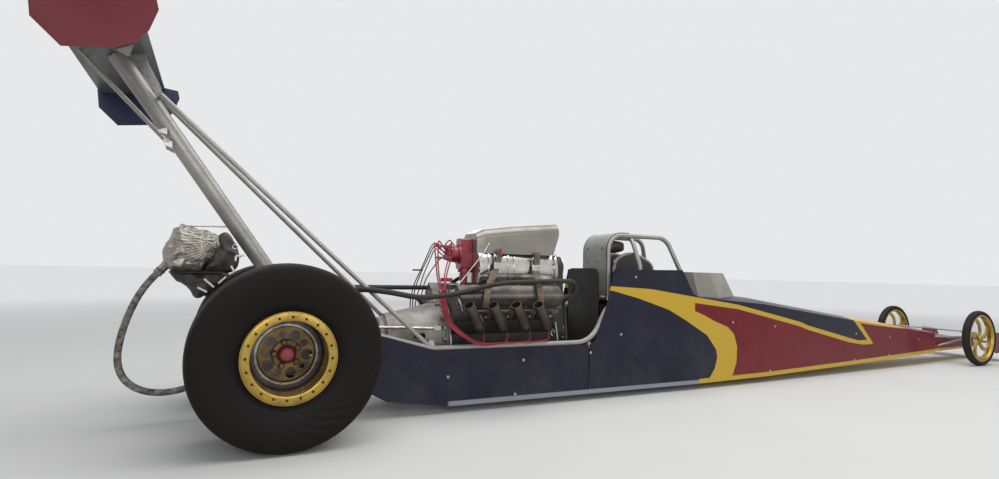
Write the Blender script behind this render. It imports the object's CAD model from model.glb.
# %% [markdown]
# This file dresses a drag racing car for its picture. The solid model already has every tube, panel and
# casting in its right place, so the work here is finish: paint and its stripes, rubber, cast and polished
# metal, cloth, and the small things that a solid model leaves out, such as bolts, hoses and leads.

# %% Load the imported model
import bmesh
import bpy
import math
import random
from mathutils import Matrix, Vector


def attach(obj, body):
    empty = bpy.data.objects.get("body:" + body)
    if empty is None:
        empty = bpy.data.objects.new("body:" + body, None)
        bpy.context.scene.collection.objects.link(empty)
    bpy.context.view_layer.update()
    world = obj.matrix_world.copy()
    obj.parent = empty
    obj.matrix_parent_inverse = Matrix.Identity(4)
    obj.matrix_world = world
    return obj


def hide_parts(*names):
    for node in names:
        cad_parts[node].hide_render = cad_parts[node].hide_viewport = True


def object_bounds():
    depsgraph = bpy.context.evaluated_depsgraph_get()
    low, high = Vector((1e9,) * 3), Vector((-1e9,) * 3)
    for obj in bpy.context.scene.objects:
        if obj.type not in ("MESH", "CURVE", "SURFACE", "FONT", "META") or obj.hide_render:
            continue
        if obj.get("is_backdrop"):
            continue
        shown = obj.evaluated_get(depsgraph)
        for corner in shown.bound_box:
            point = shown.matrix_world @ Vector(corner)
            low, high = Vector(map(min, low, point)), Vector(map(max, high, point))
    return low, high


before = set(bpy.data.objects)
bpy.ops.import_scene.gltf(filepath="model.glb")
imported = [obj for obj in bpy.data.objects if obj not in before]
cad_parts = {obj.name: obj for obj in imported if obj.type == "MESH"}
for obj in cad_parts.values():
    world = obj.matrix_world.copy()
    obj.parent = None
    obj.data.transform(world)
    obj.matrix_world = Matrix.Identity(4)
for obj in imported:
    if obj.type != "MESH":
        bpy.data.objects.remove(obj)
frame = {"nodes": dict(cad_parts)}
cad_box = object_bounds()
scene = bpy.context.scene
nodes = frame["nodes"]

# %% [markdown]
# The camera stands low beside the rear wheel and looks forward along the car. The picture was taken with a
# wide lens, so a long lens from further away would give other proportions. Its place, turn and focal length
# are set once, in metres and radians. A length along the car is a station, measured ahead of the rear axle.

# %% Camera
REAR_AXLE_X = -3.3875
LENS_PIXELS = 568.04
PICTURE_WIDTH = 999
YAW, PITCH, ROLL = 0.4579, 0.0561, 0.0222
CAMERA_PLACE = (-3.7119, -3.6399, 0.8877)
SIDES = ((-1, "right"), (1, "left"))


def at(station, y, z):
    """Point in the car's frame from its distance ahead of the rear axle, in metres."""
    return Vector((REAR_AXLE_X + station, y, z))


def placed(name, data):
    """New object in the scene for a mesh, curve, lamp or camera."""
    thing = bpy.data.objects.new(name, data)
    scene.collection.objects.link(thing)
    return thing


forward = Vector((math.sin(YAW) * math.cos(PITCH), math.cos(YAW) * math.cos(PITCH), math.sin(PITCH)))
level = Vector((math.cos(YAW), -math.sin(YAW), 0))
upright = level.cross(forward)
right = math.cos(ROLL) * level + math.sin(ROLL) * upright
lens = bpy.data.cameras.new("camera")
lens.sensor_width = 36
lens.lens = 36 * LENS_PIXELS / PICTURE_WIDTH
lens.clip_end = 500
camera = placed("camera", lens)
turn = Matrix((right, right.cross(forward), -forward)).transposed().to_4x4()
camera.matrix_world = Matrix.Translation(CAMERA_PLACE) @ turn
scene.camera = camera
print("lens", round(lens.lens, 2), "mm")

# %% [markdown]
# The parachute's tether is a sleeve of webbing. It leaves the pack, hangs in a deep loop behind the car and
# comes back to an anchor on the frame. A cord starts as one smooth curve, because the curve's own line gives
# the path that its length is measured along. Its control points are those of the solid model, in metres.

# %% Parachute tether
TETHER_RADIUS = 0.018
tether_route = [at(*place) for place in (
    (-0.616, -0.08, 0.8386), (-0.651, -0.08, 0.7969), (-0.691, -0.078, 0.733), (-0.724, -0.074, 0.659),
    (-0.755, -0.068, 0.563), (-0.776, -0.062, 0.462), (-0.78, -0.055, 0.362), (-0.754, -0.048, 0.284),
    (-0.704, -0.041, 0.23), (-0.64, -0.034, 0.199), (-0.571, -0.027, 0.188), (-0.499, -0.02, 0.192),
    (-0.425, -0.014, 0.2144), (-0.375, -0.014, 0.233),
)]


def baked(thing):
    """Plain mesh object of a curve, or of a mesh with its modifiers; the original is removed."""
    graph = bpy.context.evaluated_depsgraph_get()
    mesh = bpy.data.meshes.new_from_object(thing.evaluated_get(graph))
    name = thing.name
    bpy.data.objects.remove(thing)
    mesh.name = name
    return placed(name, mesh)


def tubes(name, routes, radius, sides=3, kind="NURBS"):
    """Mesh with one round tube for each route: smooth as NURBS, straight from point to point as POLY."""
    curve = bpy.data.curves.new(name, "CURVE")
    curve.dimensions = "3D"
    curve.bevel_depth = radius
    curve.bevel_resolution = sides
    curve.use_fill_caps = radius > 0
    for route in routes:
        spline = curve.splines.new(kind)
        spline.points.add(len(route) - 1)
        for point, place in zip(spline.points, route):
            point.co = (*place, 1)
        if kind == "NURBS":
            spline.order_u = 3
            spline.use_endpoint_u = True
            spline.resolution_u = 8
    return baked(placed(name, curve))


line = tubes("tether_line", [tether_route], 0)
bpy.data.objects.remove(line)
tether = tubes("tether_sleeve", [tether_route], TETHER_RADIUS, 5)
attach(tether, "chassis")
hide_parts("parachute_tether")

# %% [markdown]
# The real car stood in the open under a grey sky, which is one huge soft lamp. A pale floor, a large soft
# panel overhead and a weaker one beside the camera give the same light without hard shadows. The sky is
# brighter to the camera and to mirrors than to the paint, so polished metal has something pale to reflect.

# %% Floor and light
FLOOR_TONE = (0.62, 0.62, 0.6)


def mesh_piece(name, corners, faces):
    """Object whose mesh has the given corners and faces."""
    mesh = bpy.data.meshes.new(name)
    mesh.from_pydata([tuple(corner) for corner in corners], [], faces)
    mesh.update()
    return placed(name, mesh)


def soft_panel(name, place, aim, width, height, power):
    """Rectangular lamp that faces a point."""
    lamp = bpy.data.lights.new(name, "AREA")
    lamp.shape = "RECTANGLE"
    lamp.size = width
    lamp.size_y = height
    lamp.energy = power
    facing = (Vector(aim) - Vector(place)).to_track_quat("-Z", "Y")
    placed(name, lamp).matrix_world = Matrix.Translation(place) @ facing.to_matrix().to_4x4()


FLOOR_HALF = 150
floor_corners = [(x * FLOOR_HALF, y * FLOOR_HALF, 0) for x, y in ((-1, -1), (1, -1), (1, 1), (-1, 1))]
floor = mesh_piece("studio_floor", floor_corners, [(0, 1, 2, 3)])
floor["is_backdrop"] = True
soft_panel("overhead_panel", (0, -1, 7), (0, 0, 0), 12, 6, 560)
soft_panel("side_panel", (-3, -10, 3.5), (0, 0, 0.5), 9, 4, 260)
soft_panel("far_panel", (2, 9, 4), (0, 0, 0.6), 9, 4, 160)
scene.view_settings.view_transform = "Standard"
print("three soft panels")
# %% [markdown]
# Every finish is a small tree of nodes that reads the object's own coordinates, so a pattern stays on its
# piece when a wheel turns. A few short helpers place the nodes: noise for patches and grain, a ramp that
# turns a value into a mask, a mix of two colours, and a bump.

# %% Helpers for finishes
SLOTS = {
    "polished_metal": "polished", "dark_wing_paint": "dark_wing", "rear_wheel_gold": "gold",
    "rear_tyre_rubber": "tyre", "belt_rubber": "belt", "black_hose": "belt", "red_lead": "red_plastic",
    "dark_lead": "red_plastic", "container_cloth": "pad", "black_vinyl": "pad", "rim_grey": "frame_grey",
    "tan_webbing": "tether", "braided_line": "bare_steel",
}


class Nodes:
    """A node tree with short calls that place and wire its nodes."""

    def __init__(self, tree):
        self.tree = tree

    def add(self, kind, values=(), **settings):
        """New node; values go to its inputs in order, None leaves one as it is."""
        item = self.tree.nodes.new(kind)
        for key, value in settings.items():
            setattr(item, key, value)
        for socket, value in zip(item.inputs, values):
            self.give(value, socket)
        return item

    def give(self, value, socket):
        """Link an output to a socket, or set a plain value on it."""
        if isinstance(value, bpy.types.NodeSocket):
            self.tree.links.new(value, socket)
        elif value is not None:
            socket.default_value = value

    def math(self, operation, *values):
        return self.add("ShaderNodeMath", values, operation=operation).outputs[0]

    def plus(self, first, second):
        return self.math("ADD", first, second)

    def less(self, first, second):
        return self.math("SUBTRACT", first, second)

    def times(self, first, second):
        return self.math("MULTIPLY", first, second)

    def to_eye(self):
        """Value that is 1 for what the camera or a mirror sees, and 0 for light on its way."""
        ray = self.add("ShaderNodeLightPath").outputs
        return self.math("MAXIMUM", ray["Is Camera Ray"], ray["Is Glossy Ray"])


class Finish(Nodes):
    """A material in the making, and the slot of the solid model that it stands for."""

    def __init__(self, name):
        self.material = bpy.data.materials.new(name)
        self.material.use_nodes = True
        self.slot = SLOTS.get(name, name)
        super().__init__(self.material.node_tree)
        self.shader = self.tree.nodes["Principled BSDF"]
        self.place = self.add("ShaderNodeTexCoord").outputs["Object"]
        self.split = self.add("ShaderNodeSeparateXYZ", (self.place,)).outputs

    def ramp(self, value, low, high, bottom=0.0, top=1.0):
        """Value run from low to high onto bottom to top, and held at the ends."""
        return self.add("ShaderNodeMapRange", (value, low, high, bottom, top)).outputs[0]

    def stretched(self, scale, offset=(0, 0, 0)):
        """The object's coordinates moved and scaled."""
        return self.add("ShaderNodeMapping", (self.place, offset, None, scale)).outputs[0]

    def noise(self, scale, detail=3.0, roughness=0.55, vector=None):
        values = (vector or self.place, None, scale, detail, roughness)
        return self.add("ShaderNodeTexNoise", values).outputs[0]

    def mix(self, mask, first, second):
        """Colour that goes from the first to the second as the mask goes from 0 to 1."""
        item = self.add("ShaderNodeMix", data_type="RGBA")
        for socket, value in zip((item.inputs[0], item.inputs[6], item.inputs[7]), (mask, first, second)):
            self.give((*value, 1) if isinstance(value, tuple) else value, socket)
        return item.outputs[2]

    def bump(self, height, distance, strength=1.0):
        """Bump of a height in metres, added over any bump that is there."""
        item = self.add("ShaderNodeBump", (strength, distance))
        self.tree.links.new(height, item.inputs["Height"])
        socket = self.shader.inputs["Normal"]
        if socket.is_linked:
            self.tree.links.new(socket.links[0].from_socket, item.inputs["Normal"])
        self.tree.links.new(item.outputs[0], socket)

    def from_axle(self, hub):
        """Distance from the line along Y through a hub."""
        flat = [self.less(self.split[axis], hub[axis]) for axis in (0, 2)]
        return self.math("SQRT", self.plus(*(self.times(run, run) for run in flat)))

    def under(self):
        """Whatever feeds the colour so far."""
        return self.shader.inputs["Base Color"].links[0].from_socket

    def set(self, **values):
        """Plain values on the shader's own sockets."""
        for key, value in values.items():
            self.shader.inputs[key.replace("_", " ")].default_value = value

    def feed(self, name, value):
        self.tree.links.new(value, self.shader.inputs[name])


DUST = (0.2, 0.175, 0.14)


def surface(name, colour, second, patch=7.0, grain=260.0, depth=0.0002, rough=(0.3, 0.5), metal=0.0,
            coat=0.0, stretch=(1, 1, 1), dust=0.15, specular=0.5):
    """Two tones in soft patches, uneven gloss, fine grain, scratches, and dust that is thicker low down."""
    finish = Finish(name)
    patches = finish.ramp(finish.noise(patch, 5.0, 0.6), 0.36, 0.66)
    colours = finish.mix(patches, colour, second)
    low = finish.ramp(finish.split[2], 0.75, 0.02, 0.25, 1.0)
    specks = finish.ramp(finish.noise(patch * 3.1, 6.0, 0.7), 0.47, 0.75)
    settled = finish.times(finish.times(specks, low), dust)
    finish.feed("Base Color", finish.mix(settled, colours, DUST))
    fine = finish.noise(grain, 4.0, 0.6, finish.stretched(stretch))
    dulled = finish.times(settled, 0.35)
    gloss = finish.plus(finish.ramp(patches, 0, 1, *rough), dulled)
    finish.feed("Roughness", finish.plus(gloss, finish.ramp(fine, 0.3, 0.7, -0.04, 0.04)))
    if depth:
        finish.bump(fine, depth)
    finish.set(Metallic=metal, Specular_IOR_Level=specular)
    if coat:
        finish.set(Coat_Weight=coat, Coat_Roughness=0.12)
    return finish


def scratches(finish, amount=0.4, tone=(0.5, 0.5, 0.48)):
    """Thin pale scuffs over a finish's colour."""
    lines = finish.noise(9.0, 8.0, 0.75, finish.stretched((0.6, 5.0, 5.0)))
    mask = finish.times(finish.ramp(lines, 0.66, 0.72), amount)
    finish.feed("Base Color", finish.mix(mask, finish.under(), tone))


print("helpers ready")

# %% [markdown]
# Paint and metal share the same build with other numbers. Brushed sheet has its grain stretched along the
# car, castings a coarse one, and polished metal nearly none, with darker patches where oil has dried.

# %% Paints and metals
frame_grey = surface("frame_grey_paint", (0.345, 0.328, 0.296), (0.27, 0.256, 0.232), depth=0,
                     rough=(0.3, 0.42), metal=0.3, dust=0.2)
scratches(frame_grey, 0.08)
shroud_grey = surface("shroud_grey_paint", (0.26, 0.26, 0.235), (0.2, 0.2, 0.18), depth=0.00006,
                      rough=(0.34, 0.46), dust=0.2)
scratches(shroud_grey, 0.3)
bare_sheet = surface("bare_sheet", (0.42, 0.42, 0.41), (0.3, 0.3, 0.29), metal=0.85, stretch=(0.04, 1, 1),
                     dust=0.3)
cover_metal = surface("dark_cover_metal", (0.125, 0.112, 0.098), (0.07, 0.062, 0.053), patch=9.0,
                      grain=420.0, depth=0.0004, rough=(0.34, 0.52), metal=0.6, dust=0.3)
dark_sheet = surface("dark_sheet", (0.0105, 0.009, 0.0082), (0.0185, 0.016, 0.0145), depth=0.00006,
                     rough=(0.5, 0.66), dust=0.25, specular=0.3)
bare_steel = surface("bare_steel", (0.5, 0.49, 0.48), (0.34, 0.33, 0.32), rough=(0.25, 0.42), metal=1.0,
                     dust=0.2)
cast_metal = surface("cast_metal", (0.27, 0.255, 0.235), (0.17, 0.155, 0.14), patch=9.0, grain=420.0,
                     depth=0.0006, rough=(0.45, 0.62), metal=0.7, dust=0.35)
dirty_metal = surface("dirty_metal", (0.1, 0.092, 0.082), (0.045, 0.04, 0.036), patch=11.0, grain=380.0,
                      depth=0.0006, rough=(0.42, 0.66), metal=0.6, dust=0.3)
polished = surface("polished_metal", (0.66, 0.64, 0.61), (0.42, 0.39, 0.36), patch=9.0, grain=60.0,
                   depth=0.00008, rough=(0.12, 0.3), metal=1.0, dust=0.12)
hat_grey = surface("hat_grey_paint", (0.285, 0.27, 0.235), (0.2, 0.188, 0.163), patch=4.0, depth=0.00008,
                   rough=(0.2, 0.36), metal=0.55, dust=0.2)
grey_screen = surface("grey_screen", (0.255, 0.24, 0.205), (0.215, 0.2, 0.172), depth=0.00006,
                      rough=(0.3, 0.42), dust=0.15)
red_plastic = surface("red_plastic", (0.3, 0.014, 0.03), (0.22, 0.01, 0.02), grain=90.0, rough=(0.22, 0.36),
                      coat=0.4, dust=0.15)
dark_wing = surface("dark_wing_paint", (0.095, 0.093, 0.096), (0.066, 0.063, 0.066), patch=3.0,
                    depth=0.00006, rough=(0.32, 0.46), dust=0.2)
burgundy = surface("burgundy_paint", (0.15, 0.012, 0.02), (0.12, 0.01, 0.017), patch=3.0, grain=900.0,
                   depth=0.00004, rough=(0.34, 0.44), coat=0.15, dust=0.2, specular=0.3)
belt_rubber = surface("belt_rubber", (0.02, 0.02, 0.021), (0.032, 0.031, 0.03), rough=(0.6, 0.75), dust=0.3)
black_hose = surface("black_hose", (0.016, 0.014, 0.012), (0.03, 0.026, 0.022), grain=500.0, depth=0.0003,
                     rough=(0.5, 0.66), dust=0.3, specular=0.35)
red_lead = surface("red_lead", (0.36, 0.016, 0.045), (0.26, 0.01, 0.03), rough=(0.3, 0.42), dust=0.15)
dark_lead = surface("dark_lead", (0.1, 0.014, 0.022), (0.045, 0.012, 0.015), rough=(0.4, 0.55), dust=0.3)
print("plain finishes ready")

# %% [markdown]
# The plates at the wing's ends are burgundy outside and dark blue inside, and the cockpit's screen has a
# darker rear corner. In both, a mask from the place on the car mixes a second colour into the finish.

# %% Two-tone finishes
def over_painted(finish, mask, first, second):
    """Cover a finish's colour with two tones of another where the mask is 1."""
    cloud = finish.ramp(finish.noise(4.0, 5.0, 0.6), 0.36, 0.66)
    finish.feed("Base Color", finish.mix(mask, finish.under(), finish.mix(cloud, first, second)))


PLATE_MIDDLE = 0.7518
CORNER_LEAN = 0.25
plate_paint = surface("end_plate_paint", (0.15, 0.012, 0.02), (0.12, 0.01, 0.017), patch=3.0, grain=900.0,
                      depth=0.00004, rough=(0.34, 0.44), dust=0.2, specular=0.25)
out = plate_paint.math("ABSOLUTE", plate_paint.split[1])
inner_face = plate_paint.math("LESS_THAN", out, PLATE_MIDDLE)
over_painted(plate_paint, inner_face, (0.022, 0.026, 0.062), (0.033, 0.037, 0.078))
lean = grey_screen.times(grey_screen.split[2], CORNER_LEAN)
facet = grey_screen.plus(grey_screen.split[0], lean)
corner_limit = REAR_AXLE_X + 3.05 + 0.92 * CORNER_LEAN
rear_corner = grey_screen.math("LESS_THAN", facet, corner_limit)
over_painted(grey_screen, rear_corner, (0.085, 0.075, 0.064), (0.105, 0.095, 0.082))
print("two-tone finishes ready")

# %% [markdown]
# The exhaust pipes are bare steel that heat and oil have browned. They are nearly black at the port and a
# little lighter towards the outlet, so the colour follows the height.

# %% Heat-stained pipes
exhaust = surface("heat_stained_steel", (0.085, 0.065, 0.052), (0.035, 0.027, 0.023), patch=14.0,
                  rough=(0.38, 0.6), metal=0.8, dust=0.2)
upper = exhaust.ramp(exhaust.split[2], 0.6, 0.7, 0.0, 0.55)
exhaust.feed("Base Color", exhaust.mix(upper, exhaust.under(), (0.2, 0.165, 0.135)))
print("pipes")

# %% [markdown]
# Tyre rubber is never plain black. The tread of a slick picks up grey dust and grit where it meets the
# track, and the sidewalls keep a darker, slightly shiny brown. The distance from the wheel's own axis tells
# the tread from the sidewall.

# %% Tyre rubber
def tyre_rubber(name, hub, inner, outer):
    """Rubber for a wheel whose centre and radii are given."""
    finish = Finish(name)
    radius = finish.from_axle(hub)
    tread = finish.ramp(radius, outer - 0.018, outer - 0.006)
    cloud = finish.ramp(finish.noise(6.0, 6.0, 0.65), 0.35, 0.7)
    side = finish.mix(cloud, (0.0062, 0.0048, 0.0042), (0.0105, 0.0085, 0.0074))
    worn = finish.mix(cloud, (0.02, 0.0175, 0.0155), (0.038, 0.0335, 0.03))
    finish.feed("Base Color", finish.mix(tread, side, worn))
    dull = finish.ramp(tread, 0, 1, 0, 0.2)
    finish.feed("Roughness", finish.plus(finish.ramp(cloud, 0, 1, 0.56, 0.68), dull))
    grit = finish.noise(900.0, 3.0, 0.6)
    finish.bump(grit, 0.0003)
    rings = finish.math("SINE", finish.times(radius, 2 * math.pi / 0.011))
    band = finish.times(finish.ramp(radius, inner + 0.05, inner + 0.02), rings)
    finish.bump(band, 0.0006)
    finish.set(Specular_IOR_Level=0.16)
    return finish


REAR_HUB = at(0, 0, 0.453)
FRONT_HUB = at(7.0, 0, 0.29)
rear_rubber = tyre_rubber("rear_tyre_rubber", REAR_HUB, 0.222, 0.453)
front_rubber = tyre_rubber("front_tyre_rubber", FRONT_HUB, 0.247, 0.29)
print("rubber for both axles")

# %% [markdown]
# The rear wheels are gold at the centre and on the outer ring, and bare spun metal between them. One tree
# holds both: the distance from the axle picks the zone, so the colours keep to their rings at any turn.

# %% Gold wheels
def gold_wheel(name, hub, bare_from, bare_to, worn_from=0.0, cap=0.0):
    """Gold metal with a browned bare band between two radii; a bright step starts the band if it is wide."""
    finish = Finish(name)
    radius = finish.from_axle(hub)
    inside = finish.math("GREATER_THAN", radius, bare_from)
    bare = finish.times(inside, finish.math("LESS_THAN", radius, bare_to))
    cloud = finish.ramp(finish.noise(12.0, 5.0, 0.6), 0.35, 0.68)
    gold = finish.mix(cloud, (0.5, 0.335, 0.075), (0.33, 0.215, 0.05))
    oiled = finish.mix(cloud, (0.2, 0.125, 0.048), (0.065, 0.045, 0.028))
    if worn_from:
        gold = finish.mix(finish.ramp(radius, worn_from + 0.002, worn_from - 0.002), gold, oiled)
        gold = finish.mix(finish.ramp(radius, cap + 0.001, cap - 0.001), gold, (0.016, 0.013, 0.012))
    brown = finish.mix(cloud, (0.12, 0.098, 0.092), (0.05, 0.041, 0.038))
    step = finish.math("LESS_THAN", radius, bare_from + 0.012)
    silver = finish.mix(step, brown, finish.mix(cloud, (0.42, 0.4, 0.38), (0.13, 0.115, 0.105)))
    colour = finish.mix(bare, gold, silver)
    grime = finish.ramp(finish.noise(30.0, 6.0, 0.7), 0.5, 0.8, 0.0, 0.5)
    finish.feed("Base Color", finish.mix(grime, colour, (0.07, 0.055, 0.04)))
    dulled = finish.times(grime, 0.4)
    finish.feed("Roughness", finish.plus(finish.ramp(cloud, 0, 1, 0.24, 0.38), dulled))
    lathe = finish.math("SINE", finish.times(radius, 2 * math.pi / 0.0016))
    finish.bump(lathe, 0.00002)
    finish.set(Metallic=0.95)
    return finish


rear_gold = gold_wheel("rear_wheel_gold", REAR_HUB, 0.1385, 0.1776, worn_from=0.1385, cap=0.047)
front_gold = gold_wheel("front_wheel_gold", FRONT_HUB, 0.3, 0.301)
print("gold for both axles")

# %% [markdown]
# The body's scheme is navy over burgundy with yellow between them: one long stripe that falls towards the
# nose, a crescent behind it on the cockpit side, a wedge on the nose top, and a line along the bottom edge.
# An edge that runs along the car is a short list of heights over stations, and one that stands up is a list
# of stations over heights. A Float Curve node turns such a list into a function, and comparing a point with
# it gives a clean mask that needs no image.

# %% Body colours
NAVY = (0.01, 0.01, 0.024)
NAVY_LIGHT = (0.014, 0.014, 0.032)
WINE = (0.14, 0.008, 0.0145)
WINE_LIGHT = (0.17, 0.01, 0.018)
YELLOW = (0.56, 0.36, 0.035)
BELLY_TRIM = (0.26, 0.27, 0.31)
# Edges along the car: columns are station, height
ALONG = {
    "stripe_top": [(2.238, 0.799), (2.6, 0.78), (3.045, 0.721), (3.529, 0.658), (4.339, 0.499),
        (4.453, 0.464), (5.094, 0.329), (5.232, 0.301)],
    "stripe_bottom": [(2.238, 0.767), (2.479, 0.712), (3.058, 0.673), (3.529, 0.621), (4.339, 0.459),
        (4.452, 0.425), (5.093, 0.287), (5.326, 0.257)],
    "top_stripe": [(5.15, 0.48), (5.253, 0.466), (5.724, 0.418), (6.1, 0.386)],
    "body_bottom": [(2.0, 0.045), (3.1, 0.045), (3.87, 0.05), (5.05, 0.075), (6.44, 0.11),
        (6.68, 0.1195), (7.2, 0.124), (7.7, 0.13), (8.0, 0.138)],
    "body_top": [(3.1, 0.716), (3.87, 0.658), (5.05, 0.507), (6.44, 0.35)],
}
# Edges that stand up: columns are height, station
UPRIGHT = {
    "crescent_rear": [(0.048, 3.178), (0.153, 3.263), (0.242, 3.292), (0.304, 3.277), (0.418, 3.177),
        (0.543, 2.945), (0.624, 2.776), (0.712, 2.479)],
    "crescent_front": [(0.045, 3.379), (0.089, 3.468), (0.19, 3.513), (0.314, 3.521), (0.419, 3.484),
        (0.478, 3.409), (0.527, 3.262), (0.57, 3.162), (0.611, 3.045), (0.673, 3.044)],
    "wedge_rear": [(0.256, 5.436), (0.299, 5.386), (0.52, 5.133)],
    "wedge_front": [(0.256, 5.492), (0.309, 5.44), (0.511, 5.222)],
}
LINE_FADES = (6.5, 7.7)
NOSE_JOINT = 3.09
WEDGE_FOOT = 0.262
STRIPE_REAR, STRIPE_FRONT = 5.2, 6.0
TRIM_HEIGHT = 0.03
TRIM_REAR = 0.985


def follow(finish, value, points):
    """Straight-line function through a list of points, as one Float Curve node."""
    (x0, _), (x1, _) = points[0], points[-1]
    heights = [y for _, y in points]
    y0, y1 = min(heights), max(heights)
    item = finish.tree.nodes.new("ShaderNodeFloatCurve")
    curve = item.mapping.curves[0]
    shares = [((x - x0) / (x1 - x0), (y - y0) / (y1 - y0)) for x, y in points]
    for knot, share in zip((curve.points[0], curve.points[-1]), (shares[0], shares[-1])):
        knot.location = share
    for share in shares[1:-1]:
        curve.points.new(*share)
    for knot in curve.points:
        knot.handle_type = "VECTOR"
    item.mapping.update()
    finish.tree.links.new(finish.ramp(value, x0, x1), item.inputs["Value"])
    return finish.ramp(item.outputs[0], 0, 1, y0, y1)


EDGE = 0.0012


def beyond(finish, gap):
    """Mask that is 1 where the gap is more than nothing, with a soft edge."""
    return finish.ramp(gap, -EDGE, EDGE)


def body_paint(name):
    """Navy, burgundy and yellow paint, with dust low down and a clear coat."""
    finish = Finish(name)
    station = finish.less(finish.split[0], REAR_AXLE_X)
    height = finish.split[2]
    cloud = finish.ramp(finish.noise(2.5, 5.0, 0.6), 0.35, 0.68)
    navy = finish.mix(cloud, NAVY, NAVY_LIGHT)
    wine = finish.mix(cloud, WINE, WINE_LIGHT)
    over = {}
    for edges, value, other in ((ALONG, station, height), (UPRIGHT, height, station)):
        for edge, points in edges.items():
            over[edge] = finish.less(other, follow(finish, value, points))
    past = {edge: beyond(finish, gap) for edge, gap in over.items()}
    colour = finish.mix(past["crescent_front"], YELLOW, wine)
    colour = finish.mix(past["crescent_rear"], navy, colour)
    sill = over["body_bottom"]
    wide = finish.ramp(station, *LINE_FADES, 0.036, 0.016)
    low_enough = finish.ramp(finish.less(sill, wide), EDGE, -EDGE)
    nose_line = finish.times(low_enough, beyond(finish, finish.less(station, NOSE_JOINT)))
    colour = finish.mix(past["stripe_bottom"], colour, YELLOW)
    colour = finish.mix(past["stripe_top"], colour, navy)
    above = beyond(finish, finish.less(height, WEDGE_FOOT))
    colour = finish.mix(finish.times(past["wedge_rear"], above), colour, YELLOW)
    colour = finish.mix(past["wedge_front"], colour, wine)
    colour = finish.mix(nose_line, colour, YELLOW)
    ahead = beyond(finish, finish.less(station, STRIPE_REAR))
    span = finish.times(ahead, finish.ramp(station, STRIPE_FRONT + 0.12, STRIPE_FRONT))
    across = finish.math("ABSOLUTE", finish.split[1])
    rim = finish.less(across, finish.ramp(station, STRIPE_REAR, STRIPE_FRONT + 0.05, 0.0, 0.165))
    on_deck = finish.times(past["body_top"], beyond(finish, rim))
    side = finish.times(past["top_stripe"], finish.less(1.0, past["body_top"]))
    edge = finish.math("MAXIMUM", side, on_deck)
    colour = finish.mix(finish.times(edge, span), colour, YELLOW)
    trim = finish.times(beyond(finish, finish.less(TRIM_HEIGHT, sill)),
                       finish.ramp(station, NOSE_JOINT + 0.004, NOSE_JOINT + 0.002))
    trim = finish.times(trim, finish.ramp(station, TRIM_REAR, TRIM_REAR + 0.015))
    colour = finish.mix(trim, colour, BELLY_TRIM)
    film = finish.ramp(finish.noise(5.0, 7.0, 0.72), 0.42, 0.78, 0.0, 0.16)
    low = finish.ramp(height, 0.55, 0.05, 0.25, 1.0)
    finish.feed("Base Color", finish.mix(finish.times(film, low), colour, DUST))
    finish.feed("Roughness", finish.ramp(film, 0, 0.16, 0.36, 0.5))
    finish.bump(finish.noise(1.6, 2.0, 0.4), 0.004)
    finish.bump(finish.noise(1400.0, 2.0, 0.5), 0.00002)
    finish.set(Specular_IOR_Level=0.18, Coat_Weight=0.12, Coat_Roughness=0.12)
    return finish


livery = body_paint("body_livery")
print("livery of", len(livery.tree.nodes), "nodes")

# %% [markdown]
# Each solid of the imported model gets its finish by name. Only the material changes: the mesh stays as it is.

# %% Finishes for the solid model
cloth_black = surface("black_cloth", (0.022, 0.021, 0.021), (0.034, 0.033, 0.032), grain=1200.0,
                      depth=0.0006, rough=(0.75, 0.9), dust=0.15)
webbing = surface("tether_webbing", (0.03, 0.028, 0.025), (0.3, 0.29, 0.25), patch=34.0, grain=700.0,
                  depth=0.0012, rough=(0.6, 0.8), dust=0.2)
container_cloth = surface("container_cloth", (0.046, 0.042, 0.035), (0.022, 0.02, 0.017), patch=16.0,
                          grain=800.0, depth=0.0004, rough=(0.42, 0.6), dust=0.15)
silver_cloth = surface("silver_cloth", (0.36, 0.335, 0.295), (0.235, 0.212, 0.18), patch=13.0, grain=900.0,
                       depth=0.0003, rough=(0.26, 0.4), metal=0.6, dust=0.1)
by_finish = {
    frame_grey: "lower_rails upper_rails frame_braces cross_tubes main_hoop cage_bars front_axle wing_post "
                "wing_braces",
    shroud_grey: "cage_shroud",
    bare_sheet: "floor_pan motor_plates",
    dark_sheet: "seat bulkhead throttle_plate brake_calipers parachute_tray steering_yoke",
    livery: "rear_side_panels cockpit_sides nose_body nose_cone",
    burgundy: "front_wing front_wing_plates",
    plate_paint: "wing_end_plates",
    grey_screen: "windscreen",
    bare_steel: "knuckle_right knuckle_left tie_rod axle_shafts steering_column",
    rear_rubber: "rear_tyre_right rear_tyre_left",
    front_rubber: "front_tyre_right front_tyre_left",
    rear_gold: "rear_wheels",
    front_gold: "front_wheel_right front_wheel_left",
    red_plastic: "hub_caps magneto",
    cast_metal: "transmission bellhousing axle_housing",
    cover_metal: "valve_covers cylinder_heads",
    dirty_metal: "engine_block oil_pan intake_manifold",
    polished: "blower_case drive_pulleys",
    hat_grey: "injector_hat",
    belt_rubber: "drive_belt",
    exhaust: "exhaust_pipes",
    dark_wing: "rear_wing",
    silver_cloth: "parachute_packs",
    cloth_black: "head_pad",
    webbing: "parachute_tether",
}
finish_of = {name: finish.material for finish, names in by_finish.items() for name in names.split()}
for name, node in nodes.items():
    node.data.materials.clear()
    node.data.materials.append(finish_of[name])
tether.data.materials.append(webbing.material)
second_tone = tuple(tone * 0.97 for tone in FLOOR_TONE)
floor_finish = surface("studio_floor", FLOOR_TONE, second_tone, patch=0.8, grain=60.0, depth=0.00005,
                       rough=(0.75, 0.85), dust=0.0)
floor.data.materials.append(floor_finish.material)
print(len(finish_of), "solids have their finish")

# %% World light
world = bpy.data.worlds.new("grey_sky")
world.use_nodes = True
scene.world = world
FADE_FROM, FADE_TO = 5.0, 15.0


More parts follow.
